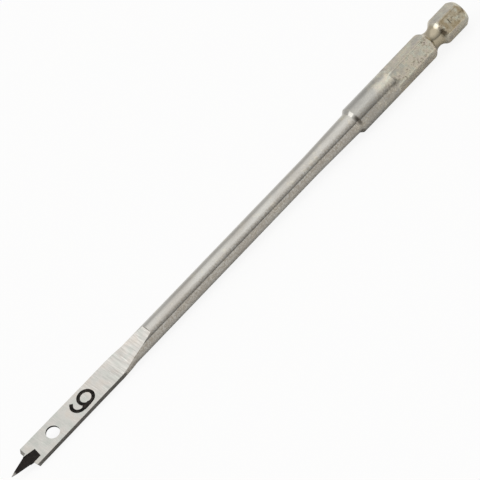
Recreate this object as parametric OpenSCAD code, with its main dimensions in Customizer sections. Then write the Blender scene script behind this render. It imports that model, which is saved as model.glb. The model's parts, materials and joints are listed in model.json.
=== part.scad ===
// Spade drill bit: a flat wood bit, forged and ground from one round bar, with a hexagonal shank.
// It is drawn along X, with its tip at zero, its shank at the far end and the blade's faces square
// to Z, and is then laid down as it comes to rest, on its collar and the front end of its shaft,
// and rolled over until one corner of the blade stops it.
// It cuts clockwise, seen from the shank: the lip on the -Y side cuts with the upper face.

/* [Whole bit] */
// Length from the tip of the point to the end of the shank
overall_length = 152; // [120:1:400]

/* [Point] */
// Length of the point, from its tip to the cutting lips
point_length = 5.5; // [3:0.1:9]
// Width of the point where it leaves the lips
point_width = 2.6; // [1.8:0.1:3.6]
// Length of the blunter bevel at the tip
tip_length = 1.3; // [0.5:0.1:2.5]
// Width of the point where that bevel ends
tip_width = 0.8; // [0.4:0.1:1.4]
// Thickness left at the tip between the two hollows
web_thickness = 0.3; // [0.1:0.05:1]
// Width of the hollow ground into each face behind the point
hollow_width = 2.1; // [1.4:0.1:3]
// Reach of the hollow behind the lips
hollow_reach = 2.4; // [0.8:0.1:4]
// Shift of the hollow from the axis, towards the lip that cuts on its face
hollow_shift = 0.9; // [0.4:0.05:1]
// Angle at which the hollow widens towards the tip
hollow_splay = 5; // [2:1:20]
// Angle by which the hollow's end is out of square, nearer to the tip on the lip's side
hollow_skew = 9; // [0:1:20]

/* [Blade] */
// Width across the lips, which is the diameter of the hole that the bit drills
blade_width = 6; // [5.4:0.1:12]
// Thickness of the flat blade
blade_thickness = 1.4; // [1:0.05:2.4]
// Length of the flat faces, from the lips to the ramps
blade_length = 28.5; // [20:0.1:40]
// Width that the blade loses between the lips and its heel
back_taper = 0.35; // [0.1:0.05:0.6]
// Distance of the heel in front of the ramps
heel_distance = 8; // [4:0.5:10]
// Angle by which the lips fall back towards the sides
lip_slope = 5; // [0:1:15]
// Clearance angle behind the cutting edges
lip_relief = 15; // [5:1:25]
// Diameter of the hole through the blade
hole_diameter = 3.3; // [2:0.1:3.6]
// Distance of that hole behind the lips
hole_setback = 8.1; // [5:0.1:14]

/* [Shaft] */
// Diameter of the plain shaft
shaft_diameter = 5.1; // [3.5:0.1:5.7]
// Distance in front of the ramps where the bar, forged as wide as the blade, starts to narrow
swell_distance = 4; // [1:0.5:6]
// Length over which it narrows to the shaft
swell_length = 8.4; // [6:0.1:14]
// Length of the ramps from the blade up to the shaft
ramp_length = 11; // [7:0.5:16]
// Depth of the ramps below the shaft's surface where they end
ramp_depth = 0.33; // [0.15:0.01:0.6]
// Angle of the short run-out at the end of the ramps
ramp_runout = 60; // [15:1:75]
// Diameter of the shaft where it meets the collar
flare_diameter = 5.75; // [5.2:0.05:6.4]
// Length of the flare in front of the collar
flare_length = 14; // [6:0.5:30]

/* [Shank] */
// Length from the collar to the end of the shank
shank_length = 38; // [32:0.5:60]
// Diameter of the round part, which also blunts the corners of the hexagon
shank_diameter = 7.1; // [6.5:0.05:8]
// Length of the cone on the collar
collar_length = 0.9; // [0.3:0.1:3]
// Width across the flats of the hexagon
hex_width = 6.35; // [5.5:0.05:7]
// Length of the hexagon
hex_length = 24.5; // [16:0.5:32]
// Angle at which the flats run out into the round part
hex_runout = 25; // [10:1:60]
// Turn of the flats about the axis, against the blade's faces
hex_turn = 34; // [0:1:59]
// Distance from the end of the shank to the middle of the catch groove
groove_setback = 9.5; // [6:0.1:13]
// Diameter at the bottom of the catch groove
groove_diameter = 4.75; // [4:0.05:5.6]
// Radius of the catch groove's round bottom
groove_radius = 2.7; // [1.8:0.1:4]
// Length of the cone at the end of the shank
end_length = 1.1; // [0.3:0.1:2.5]
// Diameter of the flat end face
end_diameter = 5.8; // [3:0.1:6.9]

/* [Hidden] */
$fn = 96;
steel = [0.70, 0.69, 0.66];

// Room by which the cutting shapes reach past the surfaces that they cut
spare = 1;
reach = shank_diameter + spare;

// Places along the bit, counted from the tip
ramp_x = point_length + blade_length;
ramp_end_x = ramp_x + ramp_length;
heel_x = ramp_x - heel_distance;
swell_x = ramp_x - swell_distance;
collar_x = overall_length - shank_length;
seat_x = collar_x + collar_length;
hex_x = overall_length - hex_length;
groove_x = overall_length - groove_setback;
hole_x = point_length + hole_setback;
hollow_x = point_length + hollow_reach;

shaft_r = shaft_diameter / 2;
blade_r = blade_width / 2;
heel_r = blade_r - back_taper / 2;
shank_r = shank_diameter / 2;
half_blade = blade_thickness / 2;
half_web = web_thickness / 2;

// The bar is forged wide enough to leave the blade's ground sides flat, and narrows along an arc
forged_r = norm([blade_r, half_blade]);
swell_drop = forged_r - shaft_r;
swell_arc = (swell_length ^ 2 + swell_drop ^ 2) / (2 * swell_drop);

// The relief tilts each lip about the level of the web, so the lip starts this far back
relief_back = (half_blade - half_web) * tan(lip_relief);

// The bit rests on the collar's rim and the front end of the shaft, with its nose down a little
rest_tilt = atan((shank_r - shaft_r) / (seat_x - ramp_end_x));
rest_height = shank_r * cos(rest_tilt) - seat_x * sin(rest_tilt);
rest_middle = (overall_length * cos(rest_tilt) + end_diameter / 2 * sin(rest_tilt)) / 2;

// It rolls until the lower corner of the lip on the -Y side reaches what it lies on
corner_x = point_length + blade_thickness * tan(lip_relief)
    + (blade_r - point_width / 2) * tan(lip_slope);
corner_y = blade_r - back_taper / 2 * (corner_x - point_length) / (heel_x - point_length);
corner_drop = shaft_r - (ramp_end_x - corner_x) * tan(rest_tilt);
rest_roll = asin(corner_drop / norm([corner_y, half_blade])) - atan(half_blade / corner_y);

// Angle from a corner of the hexagon to the middle of the next flat
hex_sides = 6;
corner_angle = 180 / hex_sides;

// Everything that is turned or forged round, as one outline about the axis
module bar_outline() {
    difference() {
        union() {
            polygon([
                [0, 0],
                [shaft_r, 0],
                [shaft_r, collar_x - flare_length],
                [flare_diameter / 2, collar_x],
                [shank_r, seat_x],
                [shank_r, overall_length - end_length],
                [end_diameter / 2, overall_length],
                [0, overall_length]
            ]);
            square([forged_r, swell_x]);
            intersection() {
                translate([forged_r - swell_arc, swell_x])
                    circle(r = swell_arc);
                translate([0, swell_x])
                    square([forged_r, swell_length + spare]);
            }
        }
        translate([groove_diameter / 2 + groove_radius, groove_x])
            circle(r = groove_radius);
    }
}

module bar() {
    rotate([0, 90, 0])
        rotate_extrude()
            bar_outline();
}

// What the flats of the hexagon take off, with a cone left where they run out
module hex_waste() {
    lead = spare / tan(hex_runout);
    cone_r = shank_r + 2 * spare;
    rotate([0, 90, 0])
        translate([0, 0, hex_x - lead])
            difference() {
                cylinder(r = reach, h = hex_length + lead + spare);
                translate([0, 0, -spare])
                    rotate(hex_turn + corner_angle)
                        cylinder(
                            d = hex_width / cos(corner_angle),
                            h = hex_length + lead + 3 * spare,
                            $fn = hex_sides
                        );
                translate([0, 0, -lead])
                    cylinder(r1 = cone_r, r2 = 0, h = cone_r / tan(hex_runout));
            }
}

// What the faces and ramps of one side of the blade take off
module face_waste() {
    ramp_top = shaft_r - ramp_depth;
    rotate([90, 0, 0])
        linear_extrude(height = 2 * reach, center = true)
            polygon([
                [-spare, half_blade],
                [ramp_x, half_blade],
                [ramp_end_x, ramp_top],
                [ramp_end_x + (reach - ramp_top) / tan(ramp_runout), reach],
                [-spare, reach]
            ]);
}

// What grinding takes off the side of the blade on the -Y side
module side_waste() {
    linear_extrude(height = 2 * reach, center = true)
        polygon([
            [-spare, -blade_r],
            [point_length, -blade_r],
            [heel_x, -heel_r],
            [ramp_x, -blade_r],
            [ramp_x, -reach],
            [-spare, -reach]
        ]);
}

// What leaves the lip and the flank of the point on the -Y side, leaning back by the relief
module lip_waste() {
    lip_x = point_length + relief_back;
    lip_width = reach - point_width / 2;
    lean = cos(lip_relief);
    translate([0, 0, half_web])
        rotate([0, -lip_relief, 0])
            linear_extrude(height = 4 * reach, center = true)
                polygon([
                    [0, 0],
                    [tip_length * lean, -tip_width / 2],
                    [lip_x * lean, -point_width / 2],
                    [(lip_x + lip_width * tan(lip_slope)) * lean, -reach],
                    [-reach, -reach],
                    [-reach, spare]
                ]);
}

// The shallow hollow that thins the point, ground into the upper face
module hollow() {
    fall = atan((half_blade - half_web) / hollow_x);
    splay_out = (hollow_x + spare) * tan(hollow_splay);
    intersection() {
        linear_extrude(height = reach)
            polygon([
                [hollow_x + spare, -hollow_shift - hollow_width / 2],
                [hollow_x + spare, -hollow_shift + hollow_width / 2],
                [-spare, -hollow_shift + hollow_width / 2 + splay_out],
                [-spare, -hollow_shift - hollow_width / 2]
            ]);
        translate([hollow_x, -hollow_shift, half_blade])
            rotate([0, -fall, -hollow_skew])
                translate([-2 * hollow_x, -reach, 0])
                    cube([2 * hollow_x, 2 * reach, reach]);
    }
}

// The blade's two sides are alike after half a turn about the axis
module both_sides() {
    for (turn = [0, 180])
        rotate([turn, 0, 0])
            children();
}

module spade_bit() {
    color(steel)
        translate([-rest_middle, 0, rest_height])
            rotate([rest_roll, -rest_tilt, 0])
                difference() {
                    bar();
                    hex_waste();
                    both_sides() {
                        face_waste();
                        side_waste();
                        lip_waste();
                        hollow();
                    }
                    translate([hole_x, 0, 0])
                        cylinder(d = hole_diameter, h = blade_thickness + 2 * spare, center = true);
                }
}

spade_bit();
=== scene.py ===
import json
import math
import bpy
import bmesh
from mathutils import Matrix, Vector


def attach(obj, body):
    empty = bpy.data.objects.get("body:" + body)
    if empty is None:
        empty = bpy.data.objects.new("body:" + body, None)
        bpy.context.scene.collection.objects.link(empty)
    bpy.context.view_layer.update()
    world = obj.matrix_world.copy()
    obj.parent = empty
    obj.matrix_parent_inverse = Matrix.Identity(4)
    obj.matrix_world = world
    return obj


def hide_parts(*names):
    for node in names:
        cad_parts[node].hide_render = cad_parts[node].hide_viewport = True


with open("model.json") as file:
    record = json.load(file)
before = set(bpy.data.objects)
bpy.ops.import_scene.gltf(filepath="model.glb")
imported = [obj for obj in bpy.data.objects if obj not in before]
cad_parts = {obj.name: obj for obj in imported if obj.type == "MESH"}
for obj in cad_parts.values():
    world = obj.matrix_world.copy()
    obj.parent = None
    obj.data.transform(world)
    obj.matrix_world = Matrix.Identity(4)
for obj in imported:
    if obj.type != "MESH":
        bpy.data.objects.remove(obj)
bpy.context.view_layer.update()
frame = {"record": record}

mm = 0.001


# colours are written as sRGB hex and shaded as linear
def linear(code):
    parts = [int(code[i:i + 2], 16) / 255 for i in (1, 3, 5)]
    return [p / 12.92 if p <= 0.04045 else ((p + 0.055) / 1.055) ** 2.4 for p in parts] + [1.0]


# values and links into a node's sockets; a node as a feed stands for its first output in use
def feed(tree, node, feeds):
    for socket, value in feeds.items():
        if isinstance(value, bpy.types.Node):
            value = next(out for out in value.outputs if out.enabled)
        if isinstance(value, bpy.types.NodeSocket):
            tree.links.new(value, node.inputs[socket])
        else:
            node.inputs[socket].default_value = value


# one node, with its settings, what goes into its sockets and the stops of a ramp;
# a mix of colours takes its share in socket 0 and the two colours in 6 and 7
def addNode(tree, kind, feeds=None, stops=(), **settings):
    node = tree.nodes.new(kind)
    for name, value in settings.items():
        setattr(node, name, value)
    feed(tree, node, feeds or {})
    for n, (spot, code) in enumerate(stops):
        stop = node.color_ramp.elements[n] if n < 2 else node.color_ramp.elements.new(spot)
        stop.position, stop.color = spot, linear(code)
    return node


# where the bit lies: its own frame has X from the tip to the shank and Z square to the blade, in mm
mounts = {mount["name"]: mount for mount in frame["record"]["mounts"]}
bitLength = 152.0
along = Vector(mounts["hex_shank"]["axis"]).normalized()
upright = Vector(mounts["wire_hole"]["axis"])
upright = (upright - along * upright.dot(along)).normalized()
across = upright.cross(along)
tip = Vector(mounts["hex_shank"]["pos_m"]) - along * bitLength * mm
bitAxes = Matrix((along, across, upright)).transposed().to_4x4()
bitToRow = Matrix.Translation(tip) @ bitAxes @ Matrix.Scale(mm, 4)
rowToBit = bitToRow.inverted()


# the camera stands where the photo was taken from
view = {
    "middle": 79.3,       # mm from the tip, the point that the picture is set by
    "distance": 904.0,    # mm
    "focal": 4007.0,      # in pixels of a picture 480 wide
    "shiftX": 10.51,      # pixels from the picture's middle to that point
    "shiftY": 11.61,
    "nod": 16.78,         # degrees by which the tip leans to the camera
    "turn": 31.72,        # degrees by which the blade's face is turned from it
    "roll": 46.16,        # slope of the bit in the picture, degrees
    "picture": 480,
    "sensor": 36.0,
    "clip": (0.05, 50),   # m
}


def makeCamera():
    nod, turn, roll = (math.radians(view[angle]) for angle in ("nod", "turn", "roll"))
    cosNod, sinNod = math.cos(nod), math.sin(nod)
    cosTurn, sinTurn = math.cos(turn), math.sin(turn)
    inPicture = Vector((cosNod, -sinTurn * sinNod, cosTurn * sinNod))    # the axis as the picture shows it
    beside = Vector((0, -cosTurn, -sinTurn))                             # square to it in the picture
    toCamera = Vector((-sinNod, -sinTurn * cosNod, cosTurn * cosNod))
    right = inPicture * math.cos(roll) + beside * math.sin(roll)
    up = inPicture * math.sin(roll) - beside * math.cos(roll)
    step = view["distance"] / view["focal"]
    place = (Vector((view["middle"], 0, 0)) + toCamera * view["distance"]
             - right * view["shiftX"] * step - up * view["shiftY"] * step)
    turned = bitToRow.to_3x3() @ Matrix((right, up, toCamera)).transposed()
    turned = Matrix([column.normalized() for column in turned.transposed()]).transposed()
    lens = bpy.data.cameras.new("camera")
    lens.sensor_width = view["sensor"]
    lens.lens = view["focal"] / view["picture"] * view["sensor"]
    lens.clip_start, lens.clip_end = view["clip"]
    camera = bpy.data.objects.new("camera", lens)
    camera.matrix_world = Matrix.Translation(bitToRow @ place) @ turned.to_4x4()
    bpy.context.scene.collection.objects.link(camera)
    bpy.context.scene.camera = camera
    print("camera at", [round(v, 3) for v in camera.location])


makeCamera()


# object coordinates turned into the bit's own frame, in mm
def bitCoords(tree):
    where = addNode(tree, "ShaderNodeTexCoord")
    turned = rowToBit.to_3x3().normalized().to_euler()
    return addNode(tree, "ShaderNodeMapping", {
        "Vector": where.outputs["Object"], "Location": rowToBit.translation,
        "Rotation": turned, "Scale": (1 / mm, 1 / mm, 1 / mm)})


def newMaterial(name):
    material = bpy.data.materials.new(name)
    material.use_nodes = True
    return material, material.node_tree, material.node_tree.nodes["Principled BSDF"]


# wear of the plated bar: where the tarnish starts and is full, in mm from the tip, and the plating's greys
shaftWear = {"from": 60.0, "full": 160.0, "gain": 0.1, "dark": "#bab6af", "pale": "#c5c3bd"}
shankWear = {"from": 118.5, "full": 130.5, "gain": 0.36, "dark": "#aba9a3", "pale": "#b5b3ad"}
# painted shade, mottled, on the sides of the bar that mirror darker surroundings
shadedSides = {                     # way each looks, strength, middle and half length of its stretch in mm
    "round": ((0.0, -0.751, 0.660), 0.75, 80.0, 48.0),
    "below": ((0.0, -0.978, 0.208), 0.45, 80.0, 48.0),
    "swell": ((0.0, -0.951, -0.309), 1.0, 36.0, 5.0),
    "hexagon": ((0.0, -0.999, -0.03), 0.5, 141.0, 13.0),
}
rustSpots = {                        # middle, reach along the bar and around it in mm, and strength
    "groove": ((144.4, -2.35, 2.15), 0.95, 1.7, 0.9),
    "runout": ((127.6, -2.55, 2.3), 2.2, 0.75, 0.4),
    "head": ((147.3, -1.6, 2.75), 0.2, 1.0, 0.8),
    "collar": ((114.6, -3.0, -1.3), 0.7, 1.5, 0.6),
}
barMarks = {                         # places in mm from the tip, and heights in mm from the axis
    "frontWay": (0.0, -0.559, 0.829),     # way in which the hexagon's front flat looks
    "frontLow": 2.4,                 # heights that way between which tarnish and rust get thicker
    "frontHigh": 3.1,
    "flatLow": 2.9,                  # and where the flat itself is
    "flatHigh": 3.12,
    "headStart": 143.6,              # the head's flat is brown from here
    "headFull": 145.6,
    "upperWay": (0.0, -0.07, 0.9976),     # the hexagon's blunt corner that is darkened, a painted shade over its highlight
    "upperLow": 3.46,
    "upperHigh": 3.53,
    "hexStart": 128.0,
    "hexFull": 129.5,
    "shadeWay": (0.0, -0.690, 0.724),     # side of the collar's foot that is darkened, a painted shade standing in for a dark reflection
    "shadeMiddle": 114.65,
    "shadeInner": 0.15,
    "shadeOuter": 0.55,
    "behindCollar": 130.0,           # past it, what is low is the groove
    "filmTop": 3.1,
    "filmFull": 2.7,
    "smoothBelow": 3.1,
    "roughAbove": 3.4,
    "fade": 2.0,                     # length over which a shaded stretch fades out
    "relief": 0.008,                 # depth of the handling marks, mm
    # colour of the painted side shade
    "sideShade": "#a29a8e",
    "brown": "#a89774",
    "rust": "#655747",
    "film": "#aba089",
    "deepRust": "#473c2a",
    # colour of the painted shade at the hexagon's corner and at the collar's foot
    "cornerShade": "#565047",
}


# what the marks on the bar go by: places, distance from the axis, height towards the front flat, two noises
def barCoords(tree):
    place = bitCoords(tree)
    parts = addNode(tree, "ShaderNodeSeparateXYZ", {0: place}).outputs
    wide = addNode(tree, "ShaderNodeCombineXYZ", {"Y": parts["Y"], "Z": parts["Z"]})
    return {
        "place": place,
        "x": parts["X"],
        "wide": wide,
        "radius": addNode(tree, "ShaderNodeVectorMath", {0: wide}, operation="LENGTH"),
        "front": addNode(tree, "ShaderNodeVectorMath", {0: place, 1: barMarks["frontWay"]},
                         operation="DOT_PRODUCT"),
        "hues": addNode(tree, "ShaderNodeTexNoise", {"Vector": place, "Scale": 0.8, "Detail": 2.0}),
        "rust": addNode(tree, "ShaderNodeTexNoise", {
            "Vector": place, "Scale": 1.9, "Detail": 5.0, "Roughness": 0.8, "Distortion": 0.15}),
    }


# how nearly a place on the bar looks one way, 1 where it does
def looksTo(tree, at, way):
    height = addNode(tree, "ShaderNodeVectorMath", {0: at["wide"], 1: way}, operation="DOT_PRODUCT")
    return addNode(tree, "ShaderNodeMath", {0: height, 1: at["radius"]}, operation="DIVIDE")


# distance along the bar from one place, to either side
def awayFrom(tree, at, middle):
    off = addNode(tree, "ShaderNodeMath", {0: at["x"], 1: middle}, operation="SUBTRACT")
    return addNode(tree, "ShaderNodeMath", {0: off}, operation="ABSOLUTE")


# plating with clouds 10 mm long and 2 mm wide, as it was drawn, and tarnish in patches 1 to 3 mm wide,
# greenish, brown and pinkish by turns
def tarnish(tree, at, wear):
    drawn = addNode(tree, "ShaderNodeMapping", {"Vector": at["place"], "Scale": (0.1, 0.45, 0.45)})
    clouds = addNode(tree, "ShaderNodeTexNoise", {"Vector": drawn, "Scale": 1.0, "Detail": 3.0})
    base = addNode(tree, "ShaderNodeValToRGB", {"Fac": clouds},
                   stops=((0.35, wear["dark"]), (0.65, wear["pale"])))
    patches = addNode(tree, "ShaderNodeTexNoise", {
        "Vector": at["place"], "Scale": 0.42, "Detail": 4.0, "Roughness": 0.62})
    stain = addNode(tree, "ShaderNodeValToRGB", {"Fac": at["hues"]},
                    stops=((0.34, "#d8d7c5"), (0.64, "#d9cfc0"), (0.5, "#dbd2bd")))
    age = addNode(tree, "ShaderNodeMapRange", {
        "Value": at["x"], "From Min": wear["from"], "From Max": wear["full"], "To Max": wear["gain"]})
    facing = addNode(tree, "ShaderNodeMapRange", {
        "Value": at["front"], "From Min": barMarks["frontLow"], "From Max": barMarks["frontHigh"],
        "To Min": 0.8, "To Max": 1.15})
    reach = addNode(tree, "ShaderNodeMath", {0: age, 1: facing, 2: patches}, operation="MULTIPLY_ADD")
    amount = addNode(tree, "ShaderNodeMapRange", {"Value": reach, "From Min": 0.56, "From Max": 0.9})
    colour = addNode(tree, "ShaderNodeMix", {0: amount, 6: base, 7: stain}, data_type="RGBA")
    return colour, reach, amount


# painted shade, mottled in spots of about 0.4 mm, along the sides of the bar that mirror darker surroundings
def paintSideShade(tree, at, colour):
    mottle = addNode(tree, "ShaderNodeTexNoise", {"Vector": at["place"], "Scale": 2.7, "Detail": 2.0})
    mottle = addNode(tree, "ShaderNodeMapRange", {"Value": mottle, "From Min": 0.38, "From Max": 0.6})
    for way, strength, middle, half in shadedSides.values():
        sideShade = addNode(tree, "ShaderNodeMapRange", {
            "Value": looksTo(tree, at, way), "From Min": 0.84, "From Max": 0.97, "To Max": strength},
            interpolation_type="SMOOTHSTEP")
        stretch = addNode(tree, "ShaderNodeMapRange", {
            "Value": awayFrom(tree, at, middle), "From Min": half, "From Max": half - barMarks["fade"]})
        sideShade = addNode(tree, "ShaderNodeMath", {0: sideShade, 1: stretch}, operation="MULTIPLY")
        sideShade = addNode(tree, "ShaderNodeMath", {0: sideShade, 1: mottle}, operation="MULTIPLY")
        colour = addNode(tree, "ShaderNodeMix", {
            0: sideShade, 6: colour, 7: linear(barMarks["sideShade"])}, data_type="RGBA")
    return colour


# the head's front flat has gone brown, here more and there less
def brownFlat(tree, at, colour):
    onFlat = addNode(tree, "ShaderNodeMapRange", {
        "Value": at["front"], "From Min": barMarks["flatLow"], "From Max": barMarks["flatHigh"]})
    onHead = addNode(tree, "ShaderNodeMapRange", {
        "Value": at["x"], "From Min": barMarks["headStart"], "From Max": barMarks["headFull"]})
    brown = addNode(tree, "ShaderNodeMath", {0: onFlat, 1: onHead}, operation="MULTIPLY")
    uneven = addNode(tree, "ShaderNodeMapRange", {
        "Value": at["hues"], "From Min": 0.35, "From Max": 0.62, "To Min": 0.15, "To Max": 0.85})
    brown = addNode(tree, "ShaderNodeMath", {0: brown, 1: uneven}, operation="MULTIPLY")
    return addNode(tree, "ShaderNodeMix", {
        0: brown, 6: colour, 7: linear(barMarks["brown"])}, data_type="RGBA")


# rust in cracks and specks, up to half a millimetre, where the tarnish is thick
def rustSpecks(tree, at, colour, reach):
    thick = addNode(tree, "ShaderNodeMath", {0: reach, 1: 0.45, 2: at["rust"]}, operation="MULTIPLY_ADD")
    specks = addNode(tree, "ShaderNodeMapRange", {
        "Value": thick, "From Min": 0.935, "From Max": 1.07, "To Max": 0.75})
    inFront = addNode(tree, "ShaderNodeMapRange", {
        "Value": at["front"], "From Min": barMarks["frontLow"], "From Max": barMarks["frontHigh"],
        "To Min": 0.25})
    specks = addNode(tree, "ShaderNodeMath", {0: specks, 1: inFront}, operation="MULTIPLY")
    return addNode(tree, "ShaderNodeMix", {
        0: specks, 6: colour, 7: linear(barMarks["rust"])}, data_type="RGBA")


# a tan film all round the groove's floor, and a few ragged spots of deeper rust
def grooveRust(tree, at, colour):
    film = addNode(tree, "ShaderNodeMapRange", {
        "Value": at["radius"], "From Min": barMarks["filmTop"], "From Max": barMarks["filmFull"],
        "To Max": 0.85})
    behind = addNode(tree, "ShaderNodeMath", {0: at["x"], 1: barMarks["behindCollar"]},
                     operation="GREATER_THAN")
    film = addNode(tree, "ShaderNodeMath", {0: film, 1: behind}, operation="MULTIPLY")
    colour = addNode(tree, "ShaderNodeMix", {
        0: film, 6: colour, 7: linear(barMarks["film"])}, data_type="RGBA")
    for middle, reachAlong, reachAround, strength in rustSpots.values():
        off = addNode(tree, "ShaderNodeVectorMath", {0: at["place"], 1: middle}, operation="SUBTRACT")
        off = addNode(tree, "ShaderNodeVectorMath", {
            0: off, 1: (1 / reachAlong, 1 / reachAround, 1 / reachAround)}, operation="MULTIPLY")
        off = addNode(tree, "ShaderNodeVectorMath", {0: off}, operation="LENGTH")
        ragged = addNode(tree, "ShaderNodeMath", {0: at["rust"], 1: -1.6, 2: off}, operation="MULTIPLY_ADD")
        spot = addNode(tree, "ShaderNodeMapRange", {
            "Value": ragged, "From Min": -0.35, "From Max": 0.2, "To Min": strength, "To Max": 0.0})
        colour = addNode(tree, "ShaderNodeMix", {
            0: spot, 6: colour, 7: linear(barMarks["deepRust"])}, data_type="RGBA")
    return colour


# painted shade: one blunt corner of the hexagon is darkened over its highlight, and the collar's foot is
# darkened on one side where it mirrors dark surroundings
def paintedCornerShade(tree, at, colour):
    height = addNode(tree, "ShaderNodeVectorMath", {0: at["wide"], 1: barMarks["upperWay"]},
                     operation="DOT_PRODUCT")
    corner = addNode(tree, "ShaderNodeMapRange", {
        "Value": height, "From Min": barMarks["upperLow"], "From Max": barMarks["upperHigh"]})
    onHex = addNode(tree, "ShaderNodeMapRange", {
        "Value": at["x"], "From Min": barMarks["hexStart"], "From Max": barMarks["hexFull"],
        "To Max": 0.36})
    corner = addNode(tree, "ShaderNodeMath", {0: corner, 1: onHex}, operation="MULTIPLY")
    aside = addNode(tree, "ShaderNodeMapRange", {
        "Value": looksTo(tree, at, barMarks["shadeWay"]), "From Min": 0.9, "From Max": 0.985,
        "To Max": 0.8}, interpolation_type="SMOOTHSTEP")
    foot = addNode(tree, "ShaderNodeMapRange", {
        "Value": awayFrom(tree, at, barMarks["shadeMiddle"]), "From Min": barMarks["shadeInner"],
        "From Max": barMarks["shadeOuter"], "To Min": 1.0, "To Max": 0.0},
        interpolation_type="SMOOTHSTEP")
    cornerShade = addNode(tree, "ShaderNodeMath", {0: aside, 1: foot}, operation="MULTIPLY")
    paintedShade = addNode(tree, "ShaderNodeMath", {0: corner, 1: cornerShade}, operation="MAXIMUM")
    return addNode(tree, "ShaderNodeMix", {
        0: paintedShade, 6: colour, 7: linear(barMarks["cornerShade"])}, data_type="RGBA")


# drawn steel with thin bright plating: satin grey, clouded along the bar, yellow-brown where it has tarnished
def platedSteel(name, wear):
    material, tree, shader = newMaterial(name)
    at = barCoords(tree)
    colour, reach, amount = tarnish(tree, at, wear)
    # painted shade on the sides that mirror darker surroundings
    colour = paintSideShade(tree, at, colour)
    colour = brownFlat(tree, at, colour)
    colour = rustSpecks(tree, at, colour, reach)
    colour = grooveRust(tree, at, colour)
    # painted shade at the hexagon's corner and at the collar's foot
    colour = paintedCornerShade(tree, at, colour)
    # fine grain of handling marks, drawn coarser than the real one, which the picture can't show
    grain = addNode(tree, "ShaderNodeTexNoise", {"Vector": at["place"], "Scale": 2.4, "Detail": 3.0})
    shade = addNode(tree, "ShaderNodeMapRange", {
        "Value": grain, "From Min": 0.3, "From Max": 0.7, "To Min": 0.94, "To Max": 1.05})
    colour = addNode(tree, "ShaderNodeVectorMath", {0: colour, 1: shade}, operation="MULTIPLY")
    dull = addNode(tree, "ShaderNodeMath", {0: grain, 1: amount}, operation="ADD")
    rough = addNode(tree, "ShaderNodeMapRange", {
        "Value": dull, "From Min": 0.3, "From Max": 1.5, "To Min": 0.13, "To Max": 0.34})
    # the shaft and the groove are smoother than the full width of the shank
    polish = addNode(tree, "ShaderNodeMapRange", {
        "Value": at["radius"], "From Min": barMarks["smoothBelow"], "From Max": barMarks["roughAbove"],
        "To Min": 0.6, "To Max": 1.0})
    rough = addNode(tree, "ShaderNodeMath", {0: rough, 1: polish}, operation="MULTIPLY")
    relief = addNode(tree, "ShaderNodeBump", {
        "Height": grain, "Strength": 0.5, "Distance": barMarks["relief"] * mm})
    feed(tree, shader, {"Base Color": colour, "Roughness": rough, "Normal": relief, "Metallic": 1.0})
    return material


grinding = {
    "toneStart": 6.0,         # mm from the tip, from where the faces get paler
    "toneEnd": 40.0,
    "lean": -9.0,             # degrees by which the lines are out of square
    "linesStart": 24.0,       # mm from the tip, from where the lines get stronger
    "linesEnd": 33.0,
    "faint": 0.34,
    "strong": 0.95,
    "relief": 0.006,          # depth of the lines, mm
}


# carbon steel ground flat across its width: pale, with fine lines from side to side, most on the ramps
def groundSteel():
    material, tree, shader = newMaterial("carbon steel, flat ground")
    place = bitCoords(tree)
    x = addNode(tree, "ShaderNodeSeparateXYZ", {0: place}).outputs["X"]
    level = addNode(tree, "ShaderNodeMapRange", {
        "Value": x, "From Min": grinding["toneStart"], "From Max": grinding["toneEnd"]})
    base = addNode(tree, "ShaderNodeValToRGB", {"Fac": level},
                   stops=((0.0, "#c5c4bf"), (1.0, "#d0cec9"), (0.6, "#cdcbc6")))
    # broad tints from heat and handling, about 2 mm across
    tints = addNode(tree, "ShaderNodeTexNoise", {"Vector": place, "Scale": 0.45, "Detail": 4.0})
    tint = addNode(tree, "ShaderNodeValToRGB", {"Fac": tints},
                   stops=((0.36, "#f6f9f7"), (0.66, "#fffaf6"), (0.5, "#fffefd")))
    colour = addNode(tree, "ShaderNodeVectorMath", {0: base, 1: tint}, operation="MULTIPLY")
    # grinding lines lean a little and lie about half a millimetre apart
    lines = addNode(tree, "ShaderNodeMapping", {
        "Vector": place, "Location": (0.6, 3.0, 0), "Rotation": (0, 0, math.radians(grinding["lean"])),
        "Scale": (2.2, 0.2, 0.2)})
    marks = addNode(tree, "ShaderNodeTexNoise", {
        "Vector": lines, "Scale": 1.0, "Detail": 3.0, "Roughness": 0.6})
    swing = addNode(tree, "ShaderNodeMapRange", {
        "Value": x, "From Min": grinding["linesStart"], "From Max": grinding["linesEnd"],
        "To Min": grinding["faint"], "To Max": grinding["strong"]})
    away = addNode(tree, "ShaderNodeMath", {0: marks, 1: 0.5}, operation="SUBTRACT")
    shade = addNode(tree, "ShaderNodeMath", {0: away, 1: swing, 2: 1.0}, operation="MULTIPLY_ADD")
    # a few bright scratches
    scratch = addNode(tree, "ShaderNodeTexNoise", {"Vector": lines, "Scale": 2.1, "Detail": 1.0})
    bright = addNode(tree, "ShaderNodeMapRange", {
        "Value": scratch, "From Min": 0.62, "From Max": 0.72, "To Max": 0.3})
    bright = addNode(tree, "ShaderNodeMath", {0: bright, 1: swing, 2: shade}, operation="MULTIPLY_ADD")
    colour = addNode(tree, "ShaderNodeVectorMath", {0: colour, 1: bright}, operation="MULTIPLY")
    relief = addNode(tree, "ShaderNodeBump", {
        "Height": marks, "Strength": 0.4, "Distance": grinding["relief"] * mm})
    feed(tree, shader, {"Base Color": colour, "Normal": relief, "Metallic": 1.0, "Roughness": 0.33})
    return material


lipShine = {"full": 6.5, "end": 11.0, "gain": 0.15}       # mm from the tip, and what the tone gains


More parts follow.
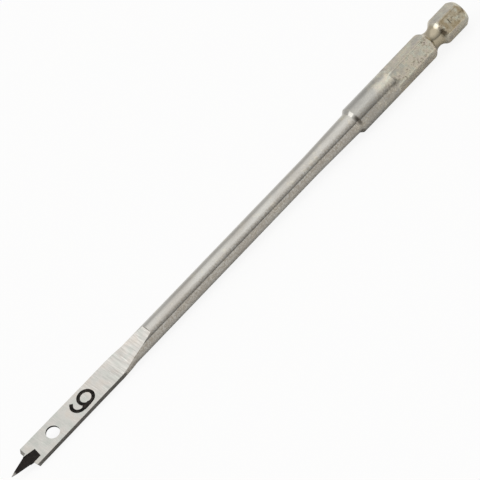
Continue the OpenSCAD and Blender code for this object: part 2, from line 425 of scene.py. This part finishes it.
# narrow sides and clearance faces, ground along: duller and darker than the faces, brighter at the lips
def edgeSteel():
    material, tree, shader = newMaterial("carbon steel, edge ground")
    place = bitCoords(tree)
    x = addNode(tree, "ShaderNodeSeparateXYZ", {0: place}).outputs["X"]
    # grinding lines 3 mm long and a third of a millimetre apart, drawn coarser than the real ones to show
    lines = addNode(tree, "ShaderNodeMapping", {"Vector": place, "Scale": (0.35, 3.0, 3.0)})
    marks = addNode(tree, "ShaderNodeTexNoise", {"Vector": lines, "Scale": 1.0, "Detail": 3.0})
    level = addNode(tree, "ShaderNodeMapRange", {
        "Value": x, "From Min": lipShine["full"], "From Max": lipShine["end"],
        "To Min": lipShine["gain"], "To Max": 0.0})
    level = addNode(tree, "ShaderNodeMath", {0: level, 1: marks}, operation="ADD")
    base = addNode(tree, "ShaderNodeValToRGB", {"Fac": level}, stops=((0.3, "#5d5a54"), (0.95, "#a09d98")))
    feed(tree, shader, {"Base Color": base, "Metallic": 1.0, "Roughness": 0.38})
    return material


wornTip = {"full": 1.35, "end": 1.9, "ragged": 0.9, "colour": "#a19e99"}      # mm from the tip, bright steel


# hollows of the point, black with scale from hardening; only the tip is worn bright
def hardenedSteel():
    material, tree, shader = newMaterial("carbon steel, hardened black")
    place = bitCoords(tree)
    x = addNode(tree, "ShaderNodeSeparateXYZ", {0: place}).outputs["X"]
    # flakes of scale, about half a millimetre
    scale = addNode(tree, "ShaderNodeTexNoise", {"Vector": place, "Scale": 2.0, "Detail": 3.0})
    ragged = addNode(tree, "ShaderNodeMath", {0: scale, 1: wornTip["ragged"], 2: x},
                     operation="MULTIPLY_ADD")
    worn = addNode(tree, "ShaderNodeMapRange", {
        "Value": ragged, "From Min": wornTip["full"], "From Max": wornTip["end"],
        "To Min": 1.0, "To Max": 0.0})
    black = addNode(tree, "ShaderNodeValToRGB", {"Fac": scale},
                    stops=((0.35, "#171310"), (0.7, "#29221f")))
    colour = addNode(tree, "ShaderNodeMix", {
        0: worn, 6: black, 7: linear(wornTip["colour"])}, data_type="RGBA")
    feed(tree, shader, {
        "Base Color": colour, "Metallic": worn, "Roughness": 0.48, "Specular IOR Level": 0.13})
    return material


# black ink filled into the stamped numeral, with a soft sheen, thinner in places a millimetre wide
def blackInk():
    material, tree, shader = newMaterial("black ink, filled")
    place = bitCoords(tree)
    film = addNode(tree, "ShaderNodeTexNoise", {"Vector": place, "Scale": 1.2, "Detail": 2.0})
    colour = addNode(tree, "ShaderNodeValToRGB", {"Fac": film},
                     stops=((0.4, "#0e0c0a"), (0.72, "#38322d")))
    feed(tree, shader, {"Base Color": colour, "Roughness": 0.5, "Specular IOR Level": 0.1})
    return material


finishes = {
    "shaft": platedSteel("plated steel, drawn", shaftWear),
    "shank": platedSteel("plated steel, tarnished", shankWear),
    "ground": groundSteel(),
    "edge": edgeSteel(),
    "hardened": hardenedSteel(),
    "ink": blackInk(),
}
print("materials made:", len(finishes))


# the bar, turned about its axis by a tree
bar = {
    "forged": 3.0806,         # radius of the forged front end, mm
    "swellStart": 30.0,
    "swellLength": 8.4,
    "swellSteps": 14,
    "swellBlend": 4.0,        # radius that rounds the outline there, as the other blends and fillets do
    "shaft": 2.55,
    "flareStart": 100.0,
    "flareBlend": 200.0,
    "flare": 2.875,
    "collarStart": 114.0,
    "collarFillet": 0.3,
    "collarEnd": 114.9,
    "collarRim": 0.2,
    "shank": 3.55,
    "grooveMiddle": 142.5,
    "grooveBottom": 2.375,
    "grooveRadius": 2.7,
    "grooveRim": 1.3,         # radius that rounds its rims
    "grooveSteps": 40,
    "rimSteps": 12,
    "coneStart": 150.9,
    "coneFillet": 0.25,
    "endRadius": 2.9,
    "endFillet": 0.2,
    "segments": 240,
    "filletSteps": 8,
    "seam": 1e-4,             # mm, points nearer than this are one
}


# points of the bar's outline: place along the axis, radius, and the fillet that rounds the corner
def barOutline():
    drop = bar["forged"] - bar["shaft"]
    arc = (bar["swellLength"] ** 2 + drop ** 2) / (2 * drop)
    points = [(0, 0, 0), (0, bar["forged"], 0), (bar["swellStart"], bar["forged"], 0)]
    for i in range(1, bar["swellSteps"]):
        x = bar["swellLength"] * i / bar["swellSteps"]
        points.append((bar["swellStart"] + x, bar["forged"] - arc + math.sqrt(arc ** 2 - x ** 2), 0))
    points += [
        (bar["swellStart"] + bar["swellLength"], bar["shaft"], bar["swellBlend"]),
        (bar["flareStart"], bar["shaft"], bar["flareBlend"]),
        (bar["collarStart"], bar["flare"], bar["collarFillet"]),
        (bar["collarEnd"], bar["shank"], bar["collarRim"]),
    ]
    rise = bar["grooveBottom"] + bar["grooveRadius"] - bar["shank"]
    both = bar["grooveRadius"] + bar["grooveRim"]
    half = math.acos((rise + bar["grooveRim"]) / both)
    rims = [(both * math.sin(half) - bar["grooveRim"] * math.sin(half * i / bar["rimSteps"]),
             bar["shank"] - bar["grooveRim"] * (1 - math.cos(half * i / bar["rimSteps"])))
            for i in range(bar["rimSteps"])]
    points += [(bar["grooveMiddle"] - x, r, 0) for x, r in rims]
    for i in range(bar["grooveSteps"] + 1):
        a = half * (2 * i / bar["grooveSteps"] - 1)
        points.append((bar["grooveMiddle"] + bar["grooveRadius"] * math.sin(a),
                       bar["grooveBottom"] + bar["grooveRadius"] * (1 - math.cos(a)), 0))
    points += [(bar["grooveMiddle"] + x, r, 0) for x, r in reversed(rims)]
    points += [
        (bar["coneStart"], bar["shank"], bar["coneFillet"]),
        (bitLength, bar["endRadius"], bar["endFillet"]),
        (bitLength, 0, 0),
    ]
    return points


def meshObject(name, vertices, faces, finish=None, edges=()):
    mesh = bpy.data.meshes.new(name)
    mesh.from_pydata([tuple(v) for v in vertices], list(edges), faces)
    if finish:
        mesh.materials.append(finishes[finish])
    body = bpy.data.objects.new(name, mesh)
    bpy.context.scene.collection.objects.link(body)
    return body


# the object's modifiers become its mesh
def settle(body):
    bpy.context.view_layer.update()
    graph = bpy.context.evaluated_depsgraph_get()
    mesh = bpy.data.meshes.new_from_object(
        body.evaluated_get(graph), preserve_all_data_layers=True, depsgraph=graph)
    body.modifiers.clear()
    if mesh.materials and mesh.materials[0] is None:
        mesh.materials.pop(index=0)
    old, body.data = body.data, mesh
    bpy.data.meshes.remove(old)
    return body


def outwards(body):
    work = bmesh.new()
    work.from_mesh(body.data)
    bmesh.ops.recalc_face_normals(work, faces=work.faces)
    work.to_mesh(body.data)
    work.free()
    return body


# a tree with its named inputs, and one output for the shape that it makes
def newTree(name, inputs, result):
    tree = bpy.data.node_groups.new(name, "GeometryNodeTree")
    for label, kind in inputs.items():
        tree.interface.new_socket(label, in_out="INPUT", socket_type="NodeSocket" + kind)
    tree.interface.new_socket(result, in_out="OUTPUT", socket_type="NodeSocketGeometry")
    return tree, addNode(tree, "NodeGroupInput").outputs


def runTree(body, tree, values):
    modifier = body.modifiers.new(tree.name, "NODES")
    modifier.node_group = tree
    for item in tree.interface.items_tree:
        if item.item_type == "SOCKET" and item.in_out == "INPUT" and item.name in values:
            modifier[item.identifier] = values[item.name]
    return settle(body)


def latheTree():
    tree, given = newTree("turn outline about axis", {
        "Outline": "Geometry", "Segments": "Int", "Fillet steps": "Int", "Shaft finish": "Material",
        "Shank finish": "Material", "Shank start": "Float", "Seam": "Float"}, "Bar")
    rounding = addNode(tree, "GeometryNodeInputNamedAttribute", {"Name": "fillet"}, data_type="FLOAT")
    line = addNode(tree, "GeometryNodeMeshToCurve", {"Mesh": given["Outline"]})
    line = addNode(tree, "GeometryNodeFilletCurve", {
        "Curve": line, "Count": given["Fillet steps"], "Radius": rounding, "Limit Radius": True}, mode="POLY")
    count = addNode(tree, "GeometryNodeAttributeDomainSize", {0: line}, component="CURVE")
    # a grid with one row for each point of the outline, bent round the axis
    around = addNode(tree, "ShaderNodeMath", {0: given["Segments"], 1: 1.0}, operation="ADD")
    grid = addNode(tree, "GeometryNodeMeshGrid", {
        "Vertices X": count.outputs["Point Count"], "Vertices Y": around})
    index = addNode(tree, "GeometryNodeInputIndex")
    ratio = addNode(tree, "ShaderNodeMath", {0: index, 1: around}, operation="DIVIDE")
    row = addNode(tree, "ShaderNodeMath", {0: ratio}, operation="FLOOR")
    column = addNode(tree, "ShaderNodeMath", {0: index, 1: around}, operation="MODULO")
    place = addNode(tree, "GeometryNodeInputPosition")
    sampled = addNode(tree, "GeometryNodeSampleIndex", {"Geometry": line, "Value": place, "Index": row},
                      data_type="FLOAT_VECTOR", domain="POINT")
    parts = addNode(tree, "ShaderNodeSeparateXYZ", {0: sampled}).outputs
    share = addNode(tree, "ShaderNodeMath", {0: column, 1: given["Segments"]}, operation="DIVIDE")
    angle = addNode(tree, "ShaderNodeMath", {0: share, 1: math.tau}, operation="MULTIPLY")
    cosine = addNode(tree, "ShaderNodeMath", {0: angle}, operation="COSINE")
    sine = addNode(tree, "ShaderNodeMath", {0: angle}, operation="SINE")
    y = addNode(tree, "ShaderNodeMath", {0: parts["Y"], 1: cosine}, operation="MULTIPLY")
    z = addNode(tree, "ShaderNodeMath", {0: parts["Y"], 1: sine}, operation="MULTIPLY")
    target = addNode(tree, "ShaderNodeCombineXYZ", {"X": parts["X"], "Y": y, "Z": z})
    moved = addNode(tree, "GeometryNodeSetPosition", {"Geometry": grid, "Position": target})
    closed = addNode(tree, "GeometryNodeMergeByDistance", {"Geometry": moved, "Distance": given["Seam"]})
    real = addNode(tree, "GeometryNodeRealizeInstances", {"Geometry": closed})
    dressed = addNode(tree, "GeometryNodeSetMaterial", {"Geometry": real, "Material": given["Shaft finish"]})
    x = addNode(tree, "ShaderNodeSeparateXYZ", {0: place}).outputs["X"]
    behind = addNode(tree, "ShaderNodeMath", {0: x, 1: given["Shank start"]}, operation="GREATER_THAN")
    dressed = addNode(tree, "GeometryNodeSetMaterial", {
        "Geometry": dressed, "Selection": behind, "Material": given["Shank finish"]})
    addNode(tree, "NodeGroupOutput", {"Bar": dressed})
    return tree


def makeBar():
    points = barOutline()
    body = meshObject("spade_bit_visual", [(x, r, 0) for x, r, _ in points], [],
                      edges=[(i, i + 1) for i in range(len(points) - 1)])
    rounding = body.data.attributes.new("fillet", "FLOAT", "POINT")
    for item, corner in zip(rounding.data, points):
        item.value = corner[2]
    runTree(body, latheTree(), {
        "Segments": bar["segments"], "Fillet steps": bar["filletSteps"], "Shank start": bar["collarStart"],
        "Shaft finish": finishes["shaft"], "Shank finish": finishes["shank"], "Seam": bar["seam"]})
    outwards(body)
    print("bar turned:", len(body.data.polygons), "faces")
    return body


# what forging and grinding take off
blade = {
    "halfThick": 0.7,
    "halfWide": 3.0,
    "lips": 5.5,              # mm from the tip
    "rampStart": 34.0,
    "rampEnd": 45.0,
    "rampTop": 2.22,
    "rampBlend": 30.0,        # radius between the face and the ramp
    "blendSteps": 10,
    "runout": 78.0,           # degrees
    "heel": 26.0,
    "heelHalf": 2.9,
    "sideEnd": 36.0,
    "holeMiddle": 13.6,
    "holeRadius": 1.65,
    "holeWall": 0.6,          # depth to which the hole is straight, before it breaks out wider
    "holeFlare": 38.0,        # degrees
    "holeReach": 2.0,         # how far its cutting shape goes to both sides of the axis
    "holeSegments": 96,
    "reach": 8.1,             # how far the other cutting shapes go from the axis
    "spare": 1.0,             # and past the tip
}
point = {
    "halfWide": 1.22,
    "tipLength": 1.3,
    "tipHalf": 0.36,
    "halfWeb": 0.15,
    "lipSlope": 5.0,          # degrees, as the next one
    "relief": 15.0,
    "hollowWide": 2.1,
    "hollowEnd": 7.9,
    "hollowShift": 0.9,
    "hollowSplay": 14.0,      # degrees
    "hollowSkew": 9.0,        # its end is nearer to the tip on the lip's side
}
shank = {
    "flats": 6.35,
    "hexStart": 127.5,
    "runout": 25.0,           # degrees
    "turn": 34.0,
    "keepMiddle": 150.0,      # the hexagon that is kept goes this far to both sides of here
    "keepHalf": 30.0,
    "coneLength": 140.0,      # of the cone in front of the hexagon's start, past the tip
    "coneSegments": 240,
}


def tan(degrees):
    return math.tan(math.radians(degrees))


# a closed prism from an outline, carried along a direction to both sides
def prism(name, outline, way, half, finish, place=None):
    lift = Vector(way) * half
    low = [Vector(p) - lift for p in outline]
    high = [Vector(p) + lift for p in outline]
    n = len(outline)
    faces = [tuple(range(n))[::-1], tuple(range(n, 2 * n))]
    faces += [(i, (i + 1) % n, n + (i + 1) % n, n + i) for i in range(n)]
    body = meshObject(name, low + high, faces, finish)
    if place:
        body.data.transform(place)
    return outwards(body)


def faceWaste():
    rise = math.atan((blade["rampTop"] - blade["halfThick"]) / (blade["rampEnd"] - blade["rampStart"]))
    cut = blade["rampBlend"] * math.tan(rise / 2)
    outline = [(-blade["spare"], 0, blade["halfThick"])]
    for i in range(blade["blendSteps"] + 1):
        a = rise * i / blade["blendSteps"]
        outline.append((blade["rampStart"] - cut + blade["rampBlend"] * math.sin(a), 0,
                        blade["halfThick"] + blade["rampBlend"] * (1 - math.cos(a))))
    outline += [
        (blade["rampEnd"], 0, blade["rampTop"]),
        (blade["rampEnd"] + (blade["reach"] - blade["rampTop"]) / tan(blade["runout"]), 0, blade["reach"]),
        (-blade["spare"], 0, blade["reach"]),
    ]
    return prism("face_waste", outline, (0, 1, 0), 2 * blade["reach"], "ground")


def sideWaste():
    outline = [
        (-blade["spare"], -blade["halfWide"], 0),
        (blade["lips"], -blade["halfWide"], 0),
        (blade["heel"], -blade["heelHalf"], 0),
        (blade["sideEnd"], -blade["heelHalf"], 0),
        (blade["sideEnd"], -blade["reach"], 0),
        (-blade["spare"], -blade["reach"], 0),
    ]
    return prism("side_waste", outline, (0, 0, 1), 2 * blade["reach"], "edge")


def lipWaste():
    lean = math.cos(math.radians(point["relief"]))
    lips = blade["lips"] + (blade["halfThick"] - point["halfWeb"]) * tan(point["relief"])
    fall = (blade["reach"] - point["halfWide"]) * tan(point["lipSlope"])
    outline = [
        (0, 0, 0),
        (point["tipLength"] * lean, -point["tipHalf"], 0),
        (lips * lean, -point["halfWide"], 0),
        ((lips + fall) * lean, -blade["reach"], 0),
        (-blade["reach"], -blade["reach"], 0),
        (-blade["reach"], blade["spare"], 0),
    ]
    leaning = Matrix.Rotation(-math.radians(point["relief"]), 4, "Y")
    leaning = Matrix.Translation((0, 0, point["halfWeb"])) @ leaning
    return prism("lip_waste", outline, (0, 0, 1), 2 * blade["reach"], "edge", leaning)


def hollowWaste():
    fall = math.atan((blade["halfThick"] - point["halfWeb"]) / point["hollowEnd"])
    middle = Vector((point["hollowEnd"], -point["hollowShift"], blade["halfThick"]))
    skew = Matrix.Rotation(-math.radians(point["hollowSkew"]), 3, "Z") @ Matrix.Rotation(-fall, 3, "Y")
    normal = skew @ Vector((0, 0, 1))
    back = point["hollowEnd"] + blade["spare"]
    near = -point["hollowShift"] - point["hollowWide"] / 2
    far = -point["hollowShift"] + point["hollowWide"] / 2
    splayed = far + back * tan(point["hollowSplay"])
    corners = [(back, near), (back, far), (-blade["spare"], splayed), (-blade["spare"], near)]
    low = []
    for x, y in corners:
        away = Vector((x - middle.x, y - middle.y, 0))
        low.append(Vector((x, y, middle.z - normal.dot(away) / normal.z)))
    high = [Vector((x, y, blade["reach"])) for x, y in corners]
    faces = [(0, 1, 2, 3), (4, 7, 6, 5)] + [(i, 4 + i, 4 + (i + 1) % 4, (i + 1) % 4) for i in range(4)]
    return outwards(meshObject("hollow_waste", low + high, faces, "hardened"))


# the hole is punched from the upper face, so it breaks out wider below
def holeWaste():
    n = blade["holeSegments"]
    straight, end = blade["halfThick"] - blade["holeWall"], blade["holeReach"]
    rings = [(end, blade["holeRadius"]), (straight, blade["holeRadius"]),
             (-end, blade["holeRadius"] + (straight + end) * tan(blade["holeFlare"]))]
    vertices = [(blade["holeMiddle"] + r * math.cos(math.tau * i / n), r * math.sin(math.tau * i / n), z)
                for z, r in rings for i in range(n)]
    faces = [tuple(range(n)), tuple(range(2 * n, 3 * n))]
    faces += [(k * n + i, k * n + (i + 1) % n, (k + 1) * n + (i + 1) % n, (k + 1) * n + i)
              for k in range(2) for i in range(n)]
    return outwards(meshObject("hole_waste", vertices, faces, "edge"))


# the hexagon that is kept, joined to the cone where its flats run out
def hexKeep():
    corner = shank["flats"] / 2 / math.cos(math.pi / 6)
    outline = []
    for i in range(6):
        a = math.radians(shank["turn"] + 30 + 60 * i)
        outline.append((shank["keepMiddle"], corner * math.sin(a), -corner * math.cos(a)))
    hexagon = prism("hex_keep", outline, (1, 0, 0), shank["keepHalf"], "shank")
    n, slope = shank["coneSegments"], tan(shank["runout"])
    front = shank["hexStart"] - shank["coneLength"]
    wide = bar["shank"] + shank["coneLength"] * slope
    rim = [(front, wide * math.cos(math.tau * i / n), wide * math.sin(math.tau * i / n)) for i in range(n)]
    top = (shank["hexStart"] + bar["shank"] / slope, 0, 0)
    faces = [tuple(range(n))] + [(i, (i + 1) % n, n) for i in range(n)]
    cone = outwards(meshObject("hex_cone", rim + [top], faces, "shank"))
    return combine(hexagon, cone, "UNION")


def combine(body, tool, operation="DIFFERENCE"):
    modifier = body.modifiers.new("cut", "BOOLEAN")
    modifier.operation, modifier.solver = operation, "EXACT"
    modifier.material_mode = "TRANSFER"
    modifier.object = tool
    settle(body)
    mesh = tool.data
    bpy.data.objects.remove(tool)
    bpy.data.meshes.remove(mesh)
    return body


# both sides of the blade are alike after half a turn
def takeOff(body, make):
    combine(body, make())
    tool = make()
    tool.data.transform(Matrix.Rotation(math.pi, 4, "X"))
    combine(body, tool)


# the size stamped into the upper face: a loop, and a stem that curls over at its end
numeral = {
    "middle": (24.45, 0.07),  # mm from the tip, and across
    "loopAlong": 1.82,
    "loopAcross": 1.65,
    "loopSteps": 96,
    "stem": ((24.45, -1.53), (23.2, -1.55), (22.2, -1.56), (21.55, -1.49), (20.87, -1.1), (20.45, -0.45),
             (20.36, 0.15), (20.55, 0.8), (21.2, 1.55)),
    "stemSteps": 72,
    "stroke": 0.86,
    "back": ((24.2, -1.5), (23.3, -1.53), (22.2, -1.53)),     # where the ink has spread
    "backSteps": 12,
    "backStroke": 1.12,
    "depth": 0.06,
    "deeper": 0.008,          # keeps the floors apart
}


def strokeTree():
    tree, given = newTree("stamp along path", {
        "Path": "Geometry", "Steps": "Int", "Stroke": "Float", "Height": "Float", "Finish": "Material"},
        "Stamp")
    line = addNode(tree, "GeometryNodeMeshToCurve", {"Mesh": given["Path"]})
    line = addNode(tree, "GeometryNodeCurveSplineType", {"Curve": line}, spline_type="CATMULL_ROM")
    line = addNode(tree, "GeometryNodeResampleCurve", {"Curve": line, "Count": given["Steps"]})
    line = addNode(tree, "GeometryNodeSetCurveNormal", {"Curve": line}, mode="Z_UP")
    section = addNode(tree, "GeometryNodeCurvePrimitiveQuadrilateral", {
        "Width": given["Stroke"], "Height": given["Height"]}, mode="RECTANGLE")
    swept = addNode(tree, "GeometryNodeCurveToMesh", {
        "Curve": line, "Profile Curve": section, "Fill Caps": True})
    real = addNode(tree, "GeometryNodeRealizeInstances", {"Geometry": swept})
    dressed = addNode(tree, "GeometryNodeSetMaterial", {"Geometry": real, "Material": given["Finish"]})
    addNode(tree, "NodeGroupOutput", {"Stamp": dressed})
    return tree


def makeStamps():
    tree = strokeTree()
    n = numeral["loopSteps"]
    loop = [(numeral["middle"][0] + numeral["loopAlong"] * math.cos(math.tau * i / n),
             numeral["middle"][1] + numeral["loopAcross"] * math.sin(math.tau * i / n)) for i in range(n)]
    strokes = (("loop", loop, n, numeral["stroke"]),
               ("stem", numeral["stem"], numeral["stemSteps"], numeral["stroke"]),
               ("back", numeral["back"], numeral["backSteps"], numeral["backStroke"]))
    stamps = []
    for order, (name, path, steps, stroke) in enumerate(strokes):
        ends = len(path) - (0 if path is loop else 1)
        height = 2 * (numeral["depth"] + order * numeral["deeper"])
        body = meshObject("stamp_" + name, [(x, y, blade["halfThick"]) for x, y in path], [],
                          edges=[(i, (i + 1) % len(path)) for i in range(ends)])
        runTree(body, tree, {"Steps": steps, "Stroke": stroke, "Height": height, "Finish": finishes["ink"]})
        stamps.append(outwards(body))
        print("stamp", name, "swept:", len(body.data.polygons), "faces")
    return stamps


bit = makeBar()
combine(bit, hexKeep(), "INTERSECT")
for make in (faceWaste, sideWaste, lipWaste, hollowWaste):
    takeOff(bit, make)
combine(bit, holeWaste())
for stamp in makeStamps():
    combine(bit, stamp)


# the point's flanks and the hole's wall are as black as the hollows, the step behind the ramps is dull
def dressFaces(body):
    names = [material.name for material in body.data.materials]
    numbers = {key: names.index(finishes[key].name) for key in finishes}
    wallEnd = blade["halfThick"] - blade["holeWall"]
    for polygon in body.data.polygons:
        x, y, z = polygon.center
        onPoint = x < blade["lips"] and abs(y) < point["halfWide"]
        beside = max(abs(x - blade["holeMiddle"]), abs(y))
        inHole = beside < blade["holeRadius"] and z > wallEnd
        if polygon.material_index == numbers["edge"] and (onPoint or inHole):
            polygon.material_index = numbers["hardened"]
        if polygon.material_index == numbers["ground"] and x > blade["rampEnd"]:
            polygon.material_index = numbers["edge"]
    print("bit ground:", len(body.data.polygons), "faces, finishes", names)


sharpFrom = 8.0               # degrees, an edge that bends less is smooth
weld = 1e-5                   # mm, points nearer than this are one


# the piece takes its place in the row
def finishPiece(body):
    work = bmesh.new()
    work.from_mesh(body.data)
    bmesh.ops.remove_doubles(work, verts=work.verts, dist=weld)
    bmesh.ops.dissolve_degenerate(work, edges=work.edges, dist=weld)
    work.to_mesh(body.data)
    work.free()
    body.data.transform(bitToRow)
    for polygon in body.data.polygons:
        polygon.use_smooth = True
    body.data.set_sharp_from_angle(angle=math.radians(sharpFrom))
    body.data.update()


dressFaces(bit)
finishPiece(bit)
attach(bit, "root")
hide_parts("spade_bit")


# white table and soft light from above, as in the photo
stage = {
    "floorHalf": 4.0,         # m
    "floorColour": "#eeedeb",
    "floorGlow": 0.88,        # share of the white that needs no light, so that the shadow stays soft
    "mirrorGlow": 0.1,        # the same for what the metal mirrors, away from where the bit touches
    "touch": 1.8,             # mm, reach of the dark where it touches
    "horizon": 0.19,          # brightness round the camera, low down and high up
    "zenith": 1.16,
    "zenithFrom": 0.81,       # height on a sky of radius 1 from where it is full
    "backWall": 0.69,         # brightness behind the bit, and what is added low down
    "backLow": 0.22,
    "wallTop": 0.76,          # height where the wall starts to turn into the sky, and where it would end
    "wallEnd": 1.03,
    "lowTop": 0.45,
    "frontEnd": -0.15,        # depths between which the front turns into the back
    "backStart": 0.25,
    "boxWay": (-0.708, 0.125, 0.695),     # a soft box over the tip
    "boxGain": 1.25,
    "boxInner": 11.5,         # degrees
    "boxOuter": 22.0,
}


def makeFloor():
    material, tree, shader = newMaterial("matt white card")
    feed(tree, shader, {
        "Base Color": linear(stage["floorColour"]), "Roughness": 0.9, "Specular IOR Level": 0.1})
    path = addNode(tree, "ShaderNodeLightPath").outputs
    seen = addNode(tree, "ShaderNodeMath", {0: path["Is Glossy Ray"], 1: path["Is Transmission Ray"]},
                   operation="ADD", use_clamp=True)
    seen = addNode(tree, "ShaderNodeMath", {0: seen, 1: stage["mirrorGlow"]}, operation="MULTIPLY")
    touch = addNode(tree, "ShaderNodeAmbientOcclusion", {"Distance": stage["touch"] * mm}, samples=8)
    seen = addNode(tree, "ShaderNodeMath", {0: seen, 1: touch.outputs["AO"]}, operation="MULTIPLY")
    share = addNode(tree, "ShaderNodeMath", {
        0: path["Is Camera Ray"], 1: stage["floorGlow"], 2: seen}, operation="MULTIPLY_ADD")
    white = addNode(tree, "ShaderNodeEmission", {"Color": (1, 1, 1, 1), "Strength": 1.0})
    mixed = addNode(tree, "ShaderNodeMixShader", {0: share, 1: shader, 2: white})
    feed(tree, tree.nodes["Material Output"], {"Surface": mixed})
    h = stage["floorHalf"]
    floor = meshObject("floor", [(-h, -h, 0), (h, -h, 0), (h, h, 0), (-h, h, 0)], [(0, 1, 2, 3)])
    floor.data.materials.append(material)
    print("floor laid")


def makeLight():
    world = bpy.data.worlds.new("studio")
    bpy.context.scene.world = world
    world.use_nodes = True
    tree = world.node_tree
    way = addNode(tree, "ShaderNodeTexCoord").outputs["Generated"]
    parts = addNode(tree, "ShaderNodeSeparateXYZ", {0: way}).outputs
    front = addNode(tree, "ShaderNodeMapRange", {
        "Value": parts["Z"], "From Max": stage["zenithFrom"], "To Min": stage["horizon"],
        "To Max": stage["zenith"]})
    rear = addNode(tree, "ShaderNodeMapRange", {
        "Value": parts["Z"], "From Min": stage["wallTop"], "From Max": stage["wallEnd"],
        "To Min": stage["backWall"], "To Max": stage["zenith"]}, interpolation_type="SMOOTHSTEP")
    low = addNode(tree, "ShaderNodeMapRange", {
        "Value": parts["Z"], "From Max": stage["lowTop"], "To Min": stage["backLow"], "To Max": 0.0})
    rear = addNode(tree, "ShaderNodeMath", {0: rear, 1: low}, operation="ADD")
    side = addNode(tree, "ShaderNodeMapRange", {
        "Value": parts["Y"], "From Min": stage["frontEnd"], "From Max": stage["backStart"]},
        interpolation_type="SMOOTHSTEP")
    sky = addNode(tree, "ShaderNodeMix", {0: side, 2: front, 3: rear}, data_type="FLOAT")
    near = addNode(tree, "ShaderNodeVectorMath", {0: way, 1: stage["boxWay"]}, operation="DOT_PRODUCT")
    box = addNode(tree, "ShaderNodeMapRange", {
        "Value": near, "From Min": math.cos(math.radians(stage["boxOuter"])),
        "From Max": math.cos(math.radians(stage["boxInner"])), "To Max": stage["boxGain"]},
        interpolation_type="SMOOTHSTEP")
    level = addNode(tree, "ShaderNodeMath", {0: sky, 1: box}, operation="ADD")
    feed(tree, tree.nodes["Background"], {"Strength": level, "Color": (1, 1, 1, 1)})
    print("light set")


makeFloor()
makeLight()
bpy.context.scene.view_settings.view_transform = "Standard"
